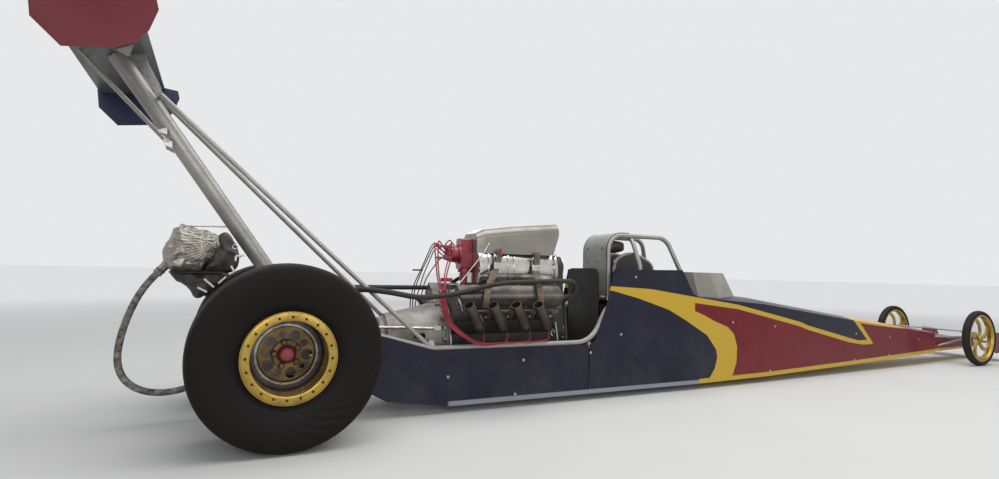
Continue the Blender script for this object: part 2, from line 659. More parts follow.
def blend(nodes, share, first, second, output):
    """Send two shaders, mixed by a share, to the tree's output."""
    both = nodes.add("ShaderNodeMixShader", (share, first, second)).outputs[0]
    nodes.give(both, nodes.tree.nodes[output].inputs["Surface"])


sky = Nodes(world.node_tree)
lamp_sky = sky.tree.nodes["Background"]
lamp_sky.inputs["Color"].default_value = (0.5, 0.52, 0.55, 1)
lamp_sky.inputs["Strength"].default_value = 0.75
seen_sky = sky.add("ShaderNodeBackground", ((0.8, 0.81, 0.82, 1),))
blend(sky, sky.to_eye(), lamp_sky.outputs[0], seen_sky.outputs[0], "World Output")

far_tone = floor_finish.add("ShaderNodeEmission", ((0.72, 0.73, 0.74, 1),))
reach = floor_finish.add("ShaderNodeVectorMath", (floor_finish.place,), operation="LENGTH").outputs["Value"]
fade = floor_finish.times(floor_finish.ramp(reach, FADE_FROM, FADE_TO), floor_finish.to_eye())
blend(floor_finish, fade, floor_finish.shader.outputs[0], far_tone.outputs[0], "Material Output")
print("sky ready, floor fades from", FADE_FROM, "to", FADE_TO, "m")
# %% [markdown]
# Pieces that the solid model leaves out are made here as plain meshes with their place in the mesh itself.
# A few helpers are enough for most of them: one closes a shell from corners and faces, two turn routes into
# tubes of mesh, and one spins an outline round an axle. The slot of a piece follows from its finish.

# %% Helpers for pieces
def dress(piece, finish, body="chassis", smooth=True):
    """Give a mesh object its finish, unless it has one and the body that it rides on."""
    if not piece.data.materials:
        piece.data.materials.append(finish.material)
    for face in piece.data.polygons:
        face.use_smooth = smooth
    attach(piece, body)
    return piece


def closed_piece(name, corners, faces):
    """Mesh object whose faces all look outward."""
    thing = mesh_piece(name, corners, faces)
    solid = bmesh.new()
    solid.from_mesh(thing.data)
    bmesh.ops.recalc_face_normals(solid, faces=solid.faces)
    solid.to_mesh(thing.data)
    solid.free()
    return thing


def tube_faces(rings, count):
    """Quads between one ring of points and the next, all the way round."""
    faces = []
    for ring in range(rings - 1):
        for index in range(count):
            a, b = ring * count + index, ring * count + (index + 1) % count
            faces.append((a, b, b + count, a + count))
    return faces


def both_sides(*routes):
    """Each route of (station, distance out, height), on the right and then on the left."""
    return [[at(s, side * y, z) for s, y, z in route] for side in (-1, 1) for route in routes]


def hoses(name, routes, radius, finish, sides=3):
    """Tubes of mesh along smooth routes."""
    return dress(tubes(name, routes, radius, sides), finish)


def rods(name, ends, radius, finish, sides=3):
    """Round rods, straight between the points of each row."""
    return dress(tubes(name, ends, radius, sides, "POLY"), finish)


def spun(name, outline, centre, side, finish, body, steps, shift=None):
    """Outline of (distance outboard, radius) spun round a line along Y through a centre."""
    corners, faces = [], []
    count = len(outline)
    for step in range(steps):
        angle = 2 * math.pi * step / steps
        for out, radius in outline:
            move = shift(angle, out, radius) if shift else 0
            spot = Vector((radius * math.cos(angle), side * (out + move), radius * math.sin(angle)))
            corners.append(centre + spot)
    for step in range(steps):
        after = (step + 1) % steps
        for index in range(count - 1):
            a, b = step * count + index, after * count + index
            face = (a, a + 1, b + 1, b)
            faces.append(face if side > 0 else face[::-1])
    return dress(mesh_piece(name, corners, faces), finish, body)


print("piece helpers ready")

# %% [markdown]
# A slick runs at very low pressure, so its sidewall is thin and creases when the car pushes against it. The
# outline of the tyre is a short list of points, drawn finer by a smooth curve through them. The creases are
# real folds in the mesh. They spiral out from the rim, are deepest below and ahead of the hub, and die away
# towards bead and tread.

# %% Rear slicks
slick_outline = [
    # distance outboard of the tyre's middle, radius
    (0.179, 0.2065), (0.1802, 0.2225), (0.187, 0.236), (0.2, 0.256), (0.211, 0.285), (0.2185, 0.32),
    (0.2218, 0.35), (0.2222, 0.38), (0.219, 0.408), (0.2125, 0.429), (0.2015, 0.4415), (0.184, 0.447),
    (0.15, 0.4492), (0.1, 0.4512), (0.04, 0.4528),
]
REAR_TYRE_Y = 0.5675
SLICK_STEPS = 384
CREASES = 29
CREASE_DEPTH = 0.0085
CREASE_SWEEP = 1.43


def smoothed(points, parts=3):
    """Points of a smooth curve through a list of points."""
    def between(a, b, c, d, t):
        square, cube = 2 * a - 5 * b + 4 * c - d, 3 * b - a - 3 * c + d
        return 0.5 * (2 * b + (c - a) * t + square * t * t + cube * t ** 3)

    fine = []
    for index in range(len(points) - 1):
        four = [points[min(max(index + k, 0), len(points) - 1)] for k in (-1, 0, 1, 2)]
        for part in range(parts):
            fine.append(tuple(between(*values, part / parts) for values in zip(*four)))
    return fine + [points[-1]]


def step_up(value, low, high):
    """Smooth rise from 0 to 1 between two values."""
    share = min(max((value - low) / (high - low), 0), 1)
    return share * share * (3 - 2 * share)


def crease(angle, out, radius):
    """Sharp folds that spiral out from the rim, outboard side only; the angle is 0 ahead of the hub."""
    share = (radius - 0.238) / (0.436 - 0.238)
    if out <= 0 or not 0 < share < 1:
        return 0
    degrees = (math.degrees(angle) + 180) % 360 - 180
    around = step_up(degrees, -112, -78) * (1 - step_up(degrees, -24, 4))
    turn = CREASES / 2 * (angle - CREASE_SWEEP * math.log(radius / 0.25))
    fold = (1 - abs(math.sin(turn))) ** 1.4
    uneven = 0.72 + 0.28 * math.sin(angle * 7.3 + 1.1)
    return -CREASE_DEPTH * around * uneven * math.sin(math.pi * share) ** 0.7 * fold


half = smoothed(slick_outline)
outline = half + [(-out, radius) for out, radius in reversed(half)]
for side, name in SIDES:
    middle = REAR_HUB + Vector((0, side * REAR_TYRE_Y, 0))
    slick = spun(f"slick_{name}", outline, middle, side, rear_rubber, "rear_axle", SLICK_STEPS, crease)
    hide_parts(f"rear_tyre_{name}")
print("slick of", len(slick.data.polygons), "faces")

# %% [markdown]
# Screws, bolts and rivets are the same shape many times over. Geometry Nodes place one small head on every
# point of a mesh and turn it to that point's facing. The tree has named inputs for its sizes, and it ends by
# making the copies real, because a set of linked copies is lost when the model is exported.

# %% Fastener tree
def fastener_tree():
    """Washer and head on every point; a head with 6 sides is a bolt, with 16 a button screw."""
    tree = bpy.data.node_groups.new("fasteners", "GeometryNodeTree")
    face = tree.interface
    face.new_socket("Geometry", in_out="INPUT", socket_type="NodeSocketGeometry")
    for label, kind, value in (
        ("Head sides", "NodeSocketInt", 6), ("Head radius", "NodeSocketFloat", 0.006),
        ("Head height", "NodeSocketFloat", 0.005), ("Top share", "NodeSocketFloat", 0.85),
        ("Washer radius", "NodeSocketFloat", 0.009), ("Washer height", "NodeSocketFloat", 0.0015),
        ("Finish", "NodeSocketMaterial", None),
    ):
        socket = face.new_socket(label, in_out="INPUT", socket_type=kind)
        if value is not None:
            socket.default_value = value
    face.new_socket("Geometry", in_out="OUTPUT", socket_type="NodeSocketGeometry")
    kit = Nodes(tree)
    given = kit.add("NodeGroupInput").outputs

    def cone(sides, bottom, top, height):
        return kit.add("GeometryNodeMeshCone", (sides, None, None, top, bottom, height)).outputs["Mesh"]

    narrow = kit.times(given["Head radius"], given["Top share"])
    head = cone(given["Head sides"], given["Head radius"], narrow, given["Head height"])
    washer = cone(16, given["Washer radius"], given["Washer radius"], given["Washer height"])
    lift = kit.add("ShaderNodeCombineXYZ", (None, None, given["Washer height"])).outputs[0]
    raised = kit.add("GeometryNodeTransform", (head,))
    kit.give(lift, raised.inputs["Translation"])
    both = kit.add("GeometryNodeJoinGeometry", (washer,))
    kit.give(raised.outputs[0], both.inputs[0])
    facing = kit.add("GeometryNodeInputNamedAttribute", ("facing",), data_type="FLOAT_VECTOR").outputs[0]
    align = kit.add("FunctionNodeAlignRotationToVector", axis="Z")
    kit.give(facing, align.inputs["Vector"])
    spread = kit.add("GeometryNodeInstanceOnPoints", (given["Geometry"],))
    kit.give(both.outputs[0], spread.inputs["Instance"])
    kit.give(align.outputs[0], spread.inputs["Rotation"])
    real = kit.add("GeometryNodeRealizeInstances", (spread.outputs[0],)).outputs[0]
    paint = kit.add("GeometryNodeSetMaterial", (real,))
    kit.give(given["Finish"], paint.inputs["Material"])
    kit.add("NodeGroupOutput", (paint.outputs[0],))
    return tree


FASTENERS = fastener_tree()


def points_mesh(name, spots):
    """Mesh of loose points, each with its facing as an attribute."""
    thing = mesh_piece(name, [place for place, _ in spots], [])
    facing = thing.data.attributes.new("facing", "FLOAT_VECTOR", "POINT")
    for item, (_, towards) in zip(facing.data, spots):
        item.vector = towards
    return thing


def grown(thing, tree, finish, body, **inputs):
    """Run a node tree on a mesh with its named inputs and keep the result as a plain mesh."""
    modifier = thing.modifiers.new(tree.name, "NODES")
    modifier.node_group = tree
    inputs["Finish"] = finish.material
    for socket in tree.interface.items_tree:
        if socket.in_out == "INPUT" and socket.name in inputs:
            modifier[socket.identifier] = inputs[socket.name]
    return dress(baked(thing), finish, body, smooth=False)


def fasten(name, spots, finish, body="chassis", sides=6, head=0.006, height=0.005, washer=0.009, top=0.85,
           plate=0.0015):
    """Row of equal fasteners from a list of (place, facing)."""
    return grown(points_mesh(name, spots), FASTENERS, finish, body, **{
        "Head sides": sides, "Head radius": head, "Head height": height, "Top share": top,
        "Washer radius": washer, "Washer height": plate})


print("fastener tree of", len(FASTENERS.nodes), "nodes")

# %% [markdown]
# Each rear tyre is clamped by a ring with twenty small bolts, so that it can't turn on the rim at the
# start of a run. The lug nuts sit in round cups. Both follow a circle, and the same tree makes them.

# %% Rear wheel bolts
RING_FACE = REAR_TYRE_Y + 0.1805 + 0.018
LUG_FACE = REAR_TYRE_Y + 0.0305 + 0.016 + 0.0002
RING_BOLTS = 20
RING_STEPS = 120
LUGS = 5
ring_outline = [(-0.009, 0.177), (0.001, 0.177), (0.0024, 0.1784), (0.0036, 0.183), (0.0038, 0.19),
                (0.0036, 0.209), (0.0026, 0.215), (0.0006, 0.2185), (-0.003, 0.2196)]
ring_spots = []
for side, hand in SIDES:
    spun(f"clamp_ring_{hand}", ring_outline, REAR_HUB + Vector((0, side * RING_FACE, 0)), side, rear_gold,
         "rear_axle", RING_STEPS)
    for index in range(RING_BOLTS):
        angle = math.radians(360 / RING_BOLTS * index - 1.8)
        around = Vector((math.cos(angle), 0, math.sin(angle)))
        spot = REAR_HUB + around * 0.1965 + Vector((0, side * (RING_FACE + 0.0036), 0))
        ring_spots.append((spot, (0, side, 0)))
fasten("ring_bolts", ring_spots, dark_sheet, "rear_axle", head=0.0048, height=0.004, washer=0.0066)
lug_spots = []
for side in (-1, 1):
    for index in range(LUGS):
        angle = math.radians(-40 + 360 / LUGS * index)
        around = Vector((math.cos(angle), 0, math.sin(angle)))
        lug_spots.append((REAR_HUB + around * 0.06 + Vector((0, side * LUG_FACE, 0)), (0, side, 0)))
fasten("lug_cups", lug_spots, dark_sheet, "rear_axle", sides=16, head=0.0155, height=0.004, washer=0.0165,
       top=0.9)
print(len(ring_spots), "ring bolts")
# %% [markdown]
# Two breather hoses carry oil mist from the valve covers back to a tank behind the engine. They are thick
# black rubber, lie on the straps that cross the covers, and turn back in one bend at the front. A hose like
# this is one smooth curve through a few points, with clamps where it ends.

# %% Breather hoses
near_hose = [
    (0.3, -0.062, 0.7), (0.33, -0.16, 0.735), (0.42, -0.28, 0.768), (0.551, -0.33, 0.756),
    (0.645, -0.33, 0.741), (0.752, -0.33, 0.72), (0.862, -0.33, 0.722), (0.974, -0.33, 0.736),
    (1.066, -0.33, 0.753), (1.161, -0.33, 0.776), (1.245, -0.33, 0.798), (1.356, -0.33, 0.814),
    (1.51, -0.33, 0.821), (1.642, -0.33, 0.827), (1.779, -0.33, 0.829), (1.86, -0.325, 0.832),
    (1.92, -0.305, 0.812), (1.93, -0.285, 0.755), (1.9, -0.262, 0.718), (1.842, -0.25, 0.72),
    (1.8, -0.25, 0.722),
]
far_hose = [(0.3, 0.062, 0.7), (0.33, 0.16, 0.735), (0.42, 0.29, 0.76), (0.54, 0.352, 0.757),
            (0.7, 0.362, 0.757), (0.95, 0.364, 0.757), (1.1, 0.364, 0.757), (1.25, 0.362, 0.76)]
far_hose += [(s, -y, z + 0.004) for s, y, z in near_hose[12:]]
HOSE_RADIUS = 0.0165
hose_routes = [[at(*place) for place in route] for route in (near_hose, far_hose)]
hoses("breather_hoses", hose_routes, HOSE_RADIUS, black_hose, 5)
collars = both_sides([(1.798, 0.25, 0.722), (1.825, 0.25, 0.7225)])
rods("hose_clamps", collars, HOSE_RADIUS + 0.0035, bare_steel, 5)
print("two hoses of radius", HOSE_RADIUS)

# %% [markdown]
# The tank that takes the mist stands over the gearbox, hidden from most sides by the wheel. It is a plain
# round can with a rolled edge and a filter on top.

# %% Breather tank
TANK = at(0.25, 0, 0.57)
tank_outline = [(0, 0.0), (0, 0.058), (0.004, 0.062), (0.01, 0.062), (0.014, 0.059), (0.15, 0.059),
                (0.154, 0.062), (0.16, 0.062), (0.164, 0.058), (0.172, 0.03), (0.174, 0.022), (0.195, 0.022),
                (0.198, 0.018), (0.198, 0.0)]
TANK_STEPS = 40


def turned(name, outline, base, finish, steps):
    """Outline of (height, radius) turned round an upright line through a place."""
    corners, faces = [], []
    for step in range(steps):
        angle = 2 * math.pi * step / steps
        for up, radius in outline:
            corners.append(base + Vector((radius * math.cos(angle), radius * math.sin(angle), up)))
    for step in range(steps):
        after = (step + 1) % steps
        for index in range(len(outline) - 1):
            a, b = step * len(outline) + index, after * len(outline) + index
            faces.append((a, b, b + 1, a + 1))
    return dress(mesh_piece(name, corners, faces), finish)


turned("breather_tank", tank_outline, TANK, bare_sheet, TANK_STEPS)
rods("tank_legs", both_sides([(0.25, 0.05, 0.6), (0.262, 0.2439, 0.565)]), 0.008, bare_steel)
print("tank top at", round(TANK.z + tank_outline[-1][0], 3))

# %% [markdown]
# Spark leads are the brightest thing on the engine: eight red silicone leads leave the magneto's cap, rise
# over it and drop behind the block. On this side two pairs come together in a red clamp and run on as one
# bundle, forward along the heads to the plugs. Each lead keeps its own place, so that no two match.

# %% Spark leads
LEAD_RADIUS = 0.0046
CAP = (1.068, 0.038, 1.0)
PLUG_STATIONS = (1.205, 1.372, 1.545, 1.69)
near_drops = [
    [(0.944, -0.085, 1.08), (0.944, -0.105, 1.04), (0.945, -0.13, 0.957), (0.946, -0.16, 0.845),
     (0.959, -0.185, 0.77)],
    [(0.974, -0.085, 1.096), (0.97, -0.105, 1.04), (0.959, -0.13, 0.957), (0.959, -0.16, 0.845),
     (0.971, -0.185, 0.77)],
    [(1.07, -0.06, 1.1), (1.084, -0.068, 1.06), (1.047, -0.09, 0.96), (1.004, -0.14, 0.857),
     (0.984, -0.185, 0.771)],
    [(1.086, -0.05, 1.09), (1.103, -0.066, 1.04), (1.062, -0.09, 0.949), (1.016, -0.14, 0.846),
     (0.997, -0.185, 0.771)],
]
near_bundle = [(0.97, -0.2, 0.736), (0.972, -0.225, 0.682), (0.974, -0.255, 0.619), (0.986, -0.28, 0.566),
               (1.036, -0.3, 0.507), (1.126, -0.315, 0.452)]
far_drops = [
    [(0.989, 0.05, 1.086), (0.951, 0.08, 0.97), (0.924, 0.11, 0.885), (0.89, 0.14, 0.791),
     (0.878, 0.17, 0.695), (0.883, 0.2, 0.622), (0.91, 0.225, 0.56)],
    [(1.003, 0.052, 1.076), (0.966, 0.082, 0.971), (0.934, 0.112, 0.885), (0.908, 0.142, 0.791),
     (0.895, 0.172, 0.695), (0.902, 0.202, 0.61), (0.936, 0.232, 0.542)],
    [(1.009, 0.06, 1.05), (0.976, 0.086, 0.947), (0.945, 0.114, 0.852), (0.93, 0.142, 0.756),
     (0.915, 0.172, 0.683), (0.922, 0.204, 0.61), (0.949, 0.236, 0.53)],
    [(1.022, 0.076, 0.93), (0.985, 0.095, 0.87), (0.957, 0.12, 0.804), (0.946, 0.15, 0.696),
     (0.94, 0.182, 0.599), (0.96, 0.238, 0.523)],
]
chance = random.Random(11)


def lead(drop, bundle, tower_angle, order, side):
    """One lead from its tower on the cap, down its own line, along the bundle and up to its plug."""
    station, circle, height = CAP
    tower = (station, circle * math.cos(tower_angle), height + circle * math.sin(tower_angle))
    route = [tower, (station - 0.03, tower[1] * 1.3, tower[2] + 0.014), *drop]
    spread = (order - 1.5) * 0.0105
    for s, y, z in bundle:
        route.append((s + spread, y + chance.uniform(-0.004, 0.004), z + chance.uniform(-0.003, 0.003)))
    plug = PLUG_STATIONS[order]
    low = 0.416 + 0.005 * order
    for s in PLUG_STATIONS[:order]:
        route.append((s, side * (0.322 + 0.004 * (order % 2)), low - 0.006 + chance.uniform(-0.004, 0.004)))
    route += [(plug - 0.03, side * 0.322, low), (plug + 0.014, side * 0.318, 0.436),
              (plug + 0.022, side * 0.294, 0.486), (plug + 0.024, side * 0.262, 0.53)]
    return [at(*place) for place in route]


far_bundle = [(1.0, 0.29, 0.486), (1.09, 0.318, 0.44)]
near_leads = [lead(drop, near_bundle, math.radians(angle), order, -1)
              for order, (drop, angle) in enumerate(zip(near_drops, (200, 155, 110, 245)))]
far_leads = [lead(drop, far_bundle, math.radians(angle), order, 1)
             for order, (drop, angle) in enumerate(zip(far_drops, (65, 20, -25, -70)))]
hoses("near_spark_leads", near_leads, LEAD_RADIUS, red_lead, 2)
hoses("far_spark_leads", far_leads, LEAD_RADIUS * 0.85, dark_lead, 2)
boots = [route[-2:] for route in near_leads + far_leads]
rods("plug_boots", boots, 0.0085, dark_sheet)
collets = [[route[0] + Vector((0.004, 0, 0)), route[0] - Vector((0.012, 0, 0))]
           for route in near_leads + far_leads]
rods("tower_boots", collets, 0.0072, red_lead)
print(len(near_leads) + len(far_leads), "leads")

# %% [markdown]
# Red clamps keep the leads apart. Each is a flat bar across the bundle, and the lowest is a block with two
# screws. All flat metal and plastic parts in this file are such plates: four corners, a thickness and a
# small bevel, because an edge without one never catches the light.

# %% Lead clamps
SLAB_FACES = [(3, 2, 1, 0), (4, 5, 6, 7), (0, 1, 5, 4), (1, 2, 6, 5), (2, 3, 7, 6), (3, 0, 4, 7)]


def plates(name, rows, finish, bevel=0.0015):
    """Several bevelled plates as one piece; each row is four corners and a thickness vector."""
    corners, faces = [], []
    for quad, thickness in rows:
        base = len(corners)
        corners += [Vector(corner) for corner in quad]
        corners += [Vector(corner) + Vector(thickness) for corner in quad]
        faces += [tuple(base + index for index in face) for face in SLAB_FACES]
    thing = closed_piece(name, corners, faces)
    edge = thing.modifiers.new("edge", "BEVEL")
    edge.width = bevel
    edge.segments = 2
    return dress(baked(thing), finish, smooth=False)


def bars(*rows):
    """Bars along the car from rows of (station, one y, the other y, height, width, thickness)."""
    made = []
    for station, y0, y1, z, width, height in rows:
        corners = ((-width, -height), (width, -height), (width, height), (-width, height))
        made.append(([at(station + run / 2, y0, z + rise / 2) for run, rise in corners], (0, y1 - y0, 0)))
    return made


combs = bars((1.022, -0.078, -0.062, 1.047, 0.118, 0.018), (1.012, -0.1, -0.084, 0.97, 0.1, 0.014),
             (1.03, -0.124, -0.104, 0.825, 0.078, 0.024), (0.979, -0.176, -0.206, 0.752, 0.066, 0.02),
             (0.905, 0.128, 0.112, 0.885, 0.07, 0.012), (0.905, 0.192, 0.176, 0.69, 0.07, 0.014))
plates("lead_clamps", combs, red_plastic)
clamp_screws = [(at(station, -0.2062, 0.752), (0, -1, 0)) for station in (0.957, 1.001)]
fasten("clamp_screws", clamp_screws, bare_steel, sides=16, head=0.006, height=0.003,
       washer=0.007)
print(len(combs), "clamps")

# %% [markdown]
# Two straps hold the blower down so that a backfire can't throw it off the car. They are wide tan webbing
# that runs from the hat, over the shoulder of the blower and the valve cover, down to the head, with a steel
# buckle. A strap is a ribbon: a route of points with a width along the car and a small thickness.

# %% Blower straps
strap_web = surface("tan_webbing", (0.185, 0.14, 0.092), (0.085, 0.066, 0.047), patch=18.0, grain=700.0,
                    depth=0.0012, rough=(0.7, 0.85), dust=0.3, specular=0.3)
STRAP_THICKNESS = 0.003
front_strap = [(1.676, 0.186, 1.023), (1.672, 0.19, 0.955), (1.662, 0.206, 0.885), (1.64, 0.264, 0.838),
               (1.616, 0.324, 0.79), (1.6, 0.374, 0.735), (1.592, 0.382, 0.695), (1.588, 0.372, 0.66)]
rear_strap = [(1.386, 0.176, 1.03), (1.374, 0.19, 0.965), (1.345, 0.21, 0.9), (1.3, 0.256, 0.85),
              (1.258, 0.3, 0.812), (1.226, 0.342, 0.772), (1.206, 0.376, 0.728), (1.198, 0.382, 0.695),
              (1.194, 0.37, 0.658)]


def ribbon(name, route, width, finish):
    """Flat strap along a route; the width lies along the car, square to the way it runs."""
    places = smoothed([tuple(place) for place in route], 5)
    corners = []
    for index, place in enumerate(places):
        before = Vector(places[max(index - 1, 0)])
        after = Vector(places[min(index + 1, len(places) - 1)])
        run = (after - before).normalized()
        out = Vector((1, 0, 0)).cross(run).normalized()
        across = run.cross(out).normalized()
        for wide, lift in ((-1, 1), (1, 1), (1, -1), (-1, -1)):
            corners.append(Vector(place) + across * wide * width / 2 + out * lift * STRAP_THICKNESS / 2)
    faces = tube_faces(len(places), 4) + [(3, 2, 1, 0), tuple(len(corners) - 4 + k for k in range(4))]
    return dress(mesh_piece(name, corners, faces), finish, smooth=False)


for side, label in ((-1, "near"), (1, "far")):
    for title, rows, width in (("front", front_strap, 0.046), ("rear", rear_strap, 0.04)):
        route = [at(s, side * y, z) for s, y, z in rows]
        ribbon(f"{title}_strap_{label}", route, width, strap_web)
buckles = []
for side in (-1, 1):
    for s, y, z in ((1.668, 0.199, 0.915), (1.36, 0.205, 0.925)):
        quad = [at(s - 0.028, side * y, z - 0.022), at(s + 0.028, side * y, z - 0.022),
                at(s + 0.028, side * (y - 0.006), z + 0.022), at(s - 0.028, side * (y - 0.006), z + 0.022)]
        buckles.append((quad, (0, side * 0.007, 0)))
plates("strap_buckles", buckles, bare_steel, 0.002)
pulls = both_sides([(1.392, 0.18, 1.04), (1.386, 0.186, 1.0)])
rods("strap_pulls", pulls, 0.01, red_lead)
print("four straps")

# %% [markdown]
# Bolts make a casting look like a real one. The heads, covers, blower, hat and bellhousing each have their
# own rows, so each row is listed by where it starts, where it ends, which way it faces and how many it has.

# %% Engine bolts
UP_BANK = math.sin(math.radians(45))
CRANK_HEIGHT = 0.45
PORTS = (1.188, 1.35, 1.512, 1.674)


def row(start, end, facing, count):
    """Evenly spaced spots from one place to another."""
    return [(start.lerp(end, index / (count - 1)), facing) for index in range(count)]


def bank_place(station, up, out, side):
    """Place on a bank's own axes: distance up the bank and offset outboard, from the crank line."""
    return at(station, side * (up + out) * UP_BANK, CRANK_HEIGHT + (up - out) * UP_BANK)


spots = []
for side in (-1, 1):
    facing = (0, side * UP_BANK, UP_BANK)
    for out in (-0.066, 0.066):
        spots += row(bank_place(1.045, 0.3545, out, side), bank_place(1.778, 0.3545, out, side), facing, 7)
fasten("cover_bolts", spots, bare_steel, head=0.0062, height=0.007, washer=0.0085)
spots = []
for side in (-1, 1):
    for end in (1.2418, 1.2622, 1.8318):
        facing = (1 if 1.25 < end < 1.3 else -1, 0, 0)
        spots += [(at(end, side * 0.1725, z), facing) for z in (0.862, 0.907, 0.952)]
    spots += row(at(1.262, side * 0.136, 0.8058), at(1.84, side * 0.136, 0.8058), (0, 0, -1), 6)
    spots += row(at(1.275, side * 0.1525, 1.0102), at(1.845, side * 0.1525, 1.0102), (0, side * 0.3, 1), 8)
fasten("blower_bolts", spots, bare_steel, head=0.006, height=0.006, washer=0.0085)
spots = []
for count, station, radius in ((10, 0.9958, 0.221), (12, 0.4358, 0.111)):
    for index in range(count):
        angle = 2 * math.pi * (index + 0.5) / count
        spot = at(station, radius * math.cos(angle), CRANK_HEIGHT + radius * math.sin(angle))
        spots.append((spot, (-1, 0, 0)))
fasten("bell_bolts", spots, bare_steel, head=0.0085, height=0.008, washer=0.0125)
spots = []
for side in (-1, 1):
    for port in PORTS:
        for shift in (-0.047, 0.047):
            spots.append((at(port + shift, side * 0.2922, 0.5934), (0, side * UP_BANK, -UP_BANK)))
fasten("flange_bolts", spots, bare_steel, head=0.0075, height=0.009, washer=0.0105)
print("engine bolts placed")

# %% [markdown]
# Fuel runs to the nozzles in the manifold through thin braided lines, and from the tank through a thicker
# one. They are small, but the gap between the blower and the covers would look empty without them.

# %% Fuel lines and nozzles
braid = surface("braided_line", (0.36, 0.35, 0.33), (0.16, 0.155, 0.15), patch=60.0, grain=900.0,
                depth=0.001, rough=(0.3, 0.5), metal=0.8, dust=0.2)
fuel_lines = []
nozzles = []
for side in (-1, 1):
    for order, s in enumerate((1.16, 1.33, 1.5, 1.67)):
        foot = at(s, side * 0.15, 0.735)
        tip = foot + Vector((0, side * 0.018, 0.03))
        nozzles.append([foot, tip])
        fuel_lines.append([tip, at(s + 0.01, side * 0.178, 0.795), at(s + 0.05, side * 0.19, 0.79),
                           at(1.74, side * 0.192, 0.786 - 0.004 * order), at(1.806, side * 0.175, 0.77),
                           at(1.815, side * 0.12, 0.7)])
hoses("fuel_lines", fuel_lines, 0.0042, braid, 2)
rods("fuel_nozzles", nozzles, 0.0075, bare_steel)
front_pipes = both_sides([(1.867, 0.24, 0.716), (1.868, 0.246, 0.64), (1.87, 0.256, 0.53),
                          (1.872, 0.266, 0.424)])
hoses("front_pipes", front_pipes, 0.012, black_hose, 4)
tank_line = [at(1.865, -0.24, 0.44), at(1.93, -0.2, 0.3), at(2.02, -0.08, 0.2), at(2.09, 0.0, 0.16)]
hoses("tank_line", [tank_line], 0.009, braid, 3)
print(len(fuel_lines), "fuel lines")

# %% [markdown]
# The clutch is worked by a rod that runs back from the bellhousing over the gearbox, with a clevis at its
# front end. A thinner rod ties the rear strap's bracket to the hat.

# %% Rods round the engine
clutch = [[at(0.3, -0.16, 0.54), at(0.925, -0.2, 0.519)]]
rods("clutch_rod", clutch, 0.0085, polished)
clevis = bars((0.945, -0.19, -0.182, 0.52, 0.06, 0.032), (0.945, -0.218, -0.21, 0.52, 0.06, 0.032),
              (0.968, -0.182, -0.218, 0.52, 0.012, 0.032))
plates("clutch_clevis", clevis, bare_steel)
hat_rod = [[at(1.025, -0.235, 0.745), at(1.26, -0.19, 1.006), at(1.31, -0.168, 1.078)]]
rods("hat_rod", hat_rod, 0.004, bare_steel)
head_pipes = both_sides([(1.036, 0.318, 0.712), (1.048, 0.334, 0.672), (1.062, 0.322, 0.634)])
hoses("head_pipes", head_pipes, 0.006, bare_steel, 3)
print("rods placed")
# %% [markdown]
# Two parachutes ride behind the car, each folded into a bag of silvery heat-proof cloth. Such a bag is limp
# and crumpled: it bulges where the canopy presses on it, and folds run out of the corner that is tied. It
# starts as a plain closed shell. A short cloth simulation blows it up, and folds are then pushed into it.

# %% Closed soft shells
from mathutils import noise

FRAMES = 20


def cornered(outline, passes=2):
    """Closed outline with its corners cut, pass by pass."""
    places = [Vector(place) for place in outline]
    for _ in range(passes):
        cut = []
        for index, place in enumerate(places):
            after = places[(index + 1) % len(places)]
            cut += [place.lerp(after, 0.16), place.lerp(after, 0.84)]
        places = cut
    return places


def shell(name, outline, y0, y1, passes=2, power=5.0):
    """Closed shell: a side outline of (station, height), drawn in towards both ends."""
    places = cornered(outline, passes)
    centre = sum(places, Vector((0, 0))) / len(places)
    corners = []
    levels = (-0.995, -0.96, -0.88, -0.7, -0.35, 0.0, 0.35, 0.7, 0.88, 0.96, 0.995)
    for level in levels:
        size = (1 - abs(level) ** power) ** (1 / power)
        for place in places:
            spot = centre + (place - centre) * size
            corners.append(at(spot.x, (y0 + y1) / 2 + level * (y1 - y0) / 2, spot.y))
    count = len(places)
    faces = tube_faces(len(levels), count)
    for ring, y in ((0, y0), (len(levels) - 1, y1)):
        corners.append(at(centre.x, y, centre.y))
        for index in range(count):
            faces.append((ring * count + index, ring * count + (index + 1) % count, len(corners) - 1))
    return closed_piece(name, corners, faces)


def puffed(thing, voxel, cap, pressure=4.0, grow=0.0):
    """Voxel remesh, then cloth under pressure; no point ends further than the cap from where it began."""
    even = thing.modifiers.new("even", "REMESH")
    even.mode = "VOXEL"
    even.voxel_size = voxel
    thing = baked(thing)
    start = [vertex.co.copy() for vertex in thing.data.vertices]
    cloth = thing.modifiers.new("puff", "CLOTH")
    cloth.settings.use_pressure = True
    cloth.settings.uniform_pressure_force = pressure
    cloth.settings.shrink_min = -grow
    cloth.settings.effector_weights.gravity = 0
    cloth.point_cache.frame_start = 1
    cloth.point_cache.frame_end = FRAMES
    for frame_number in range(1, FRAMES + 1):
        scene.frame_set(frame_number)
    thing = baked(thing)
    for vertex, place in zip(thing.data.vertices, start):
        move = vertex.co - place
        if move.length > cap:
            vertex.co = place + move.normalized() * cap
    return thing


def folded(thing, height):
    """Move each point along its normal by a height that a function of its place gives."""
    moves = [vertex.normal * height(vertex.co) for vertex in thing.data.vertices]
    for vertex, move in zip(thing.data.vertices, moves):
        vertex.co += move
    thing.data.update()
    return thing


def finer(thing, levels=1):
    smooth = thing.modifiers.new("smooth", "SUBSURF")
    smooth.levels = levels
    smooth.render_levels = levels
    return baked(thing)


print("soft shells ready")

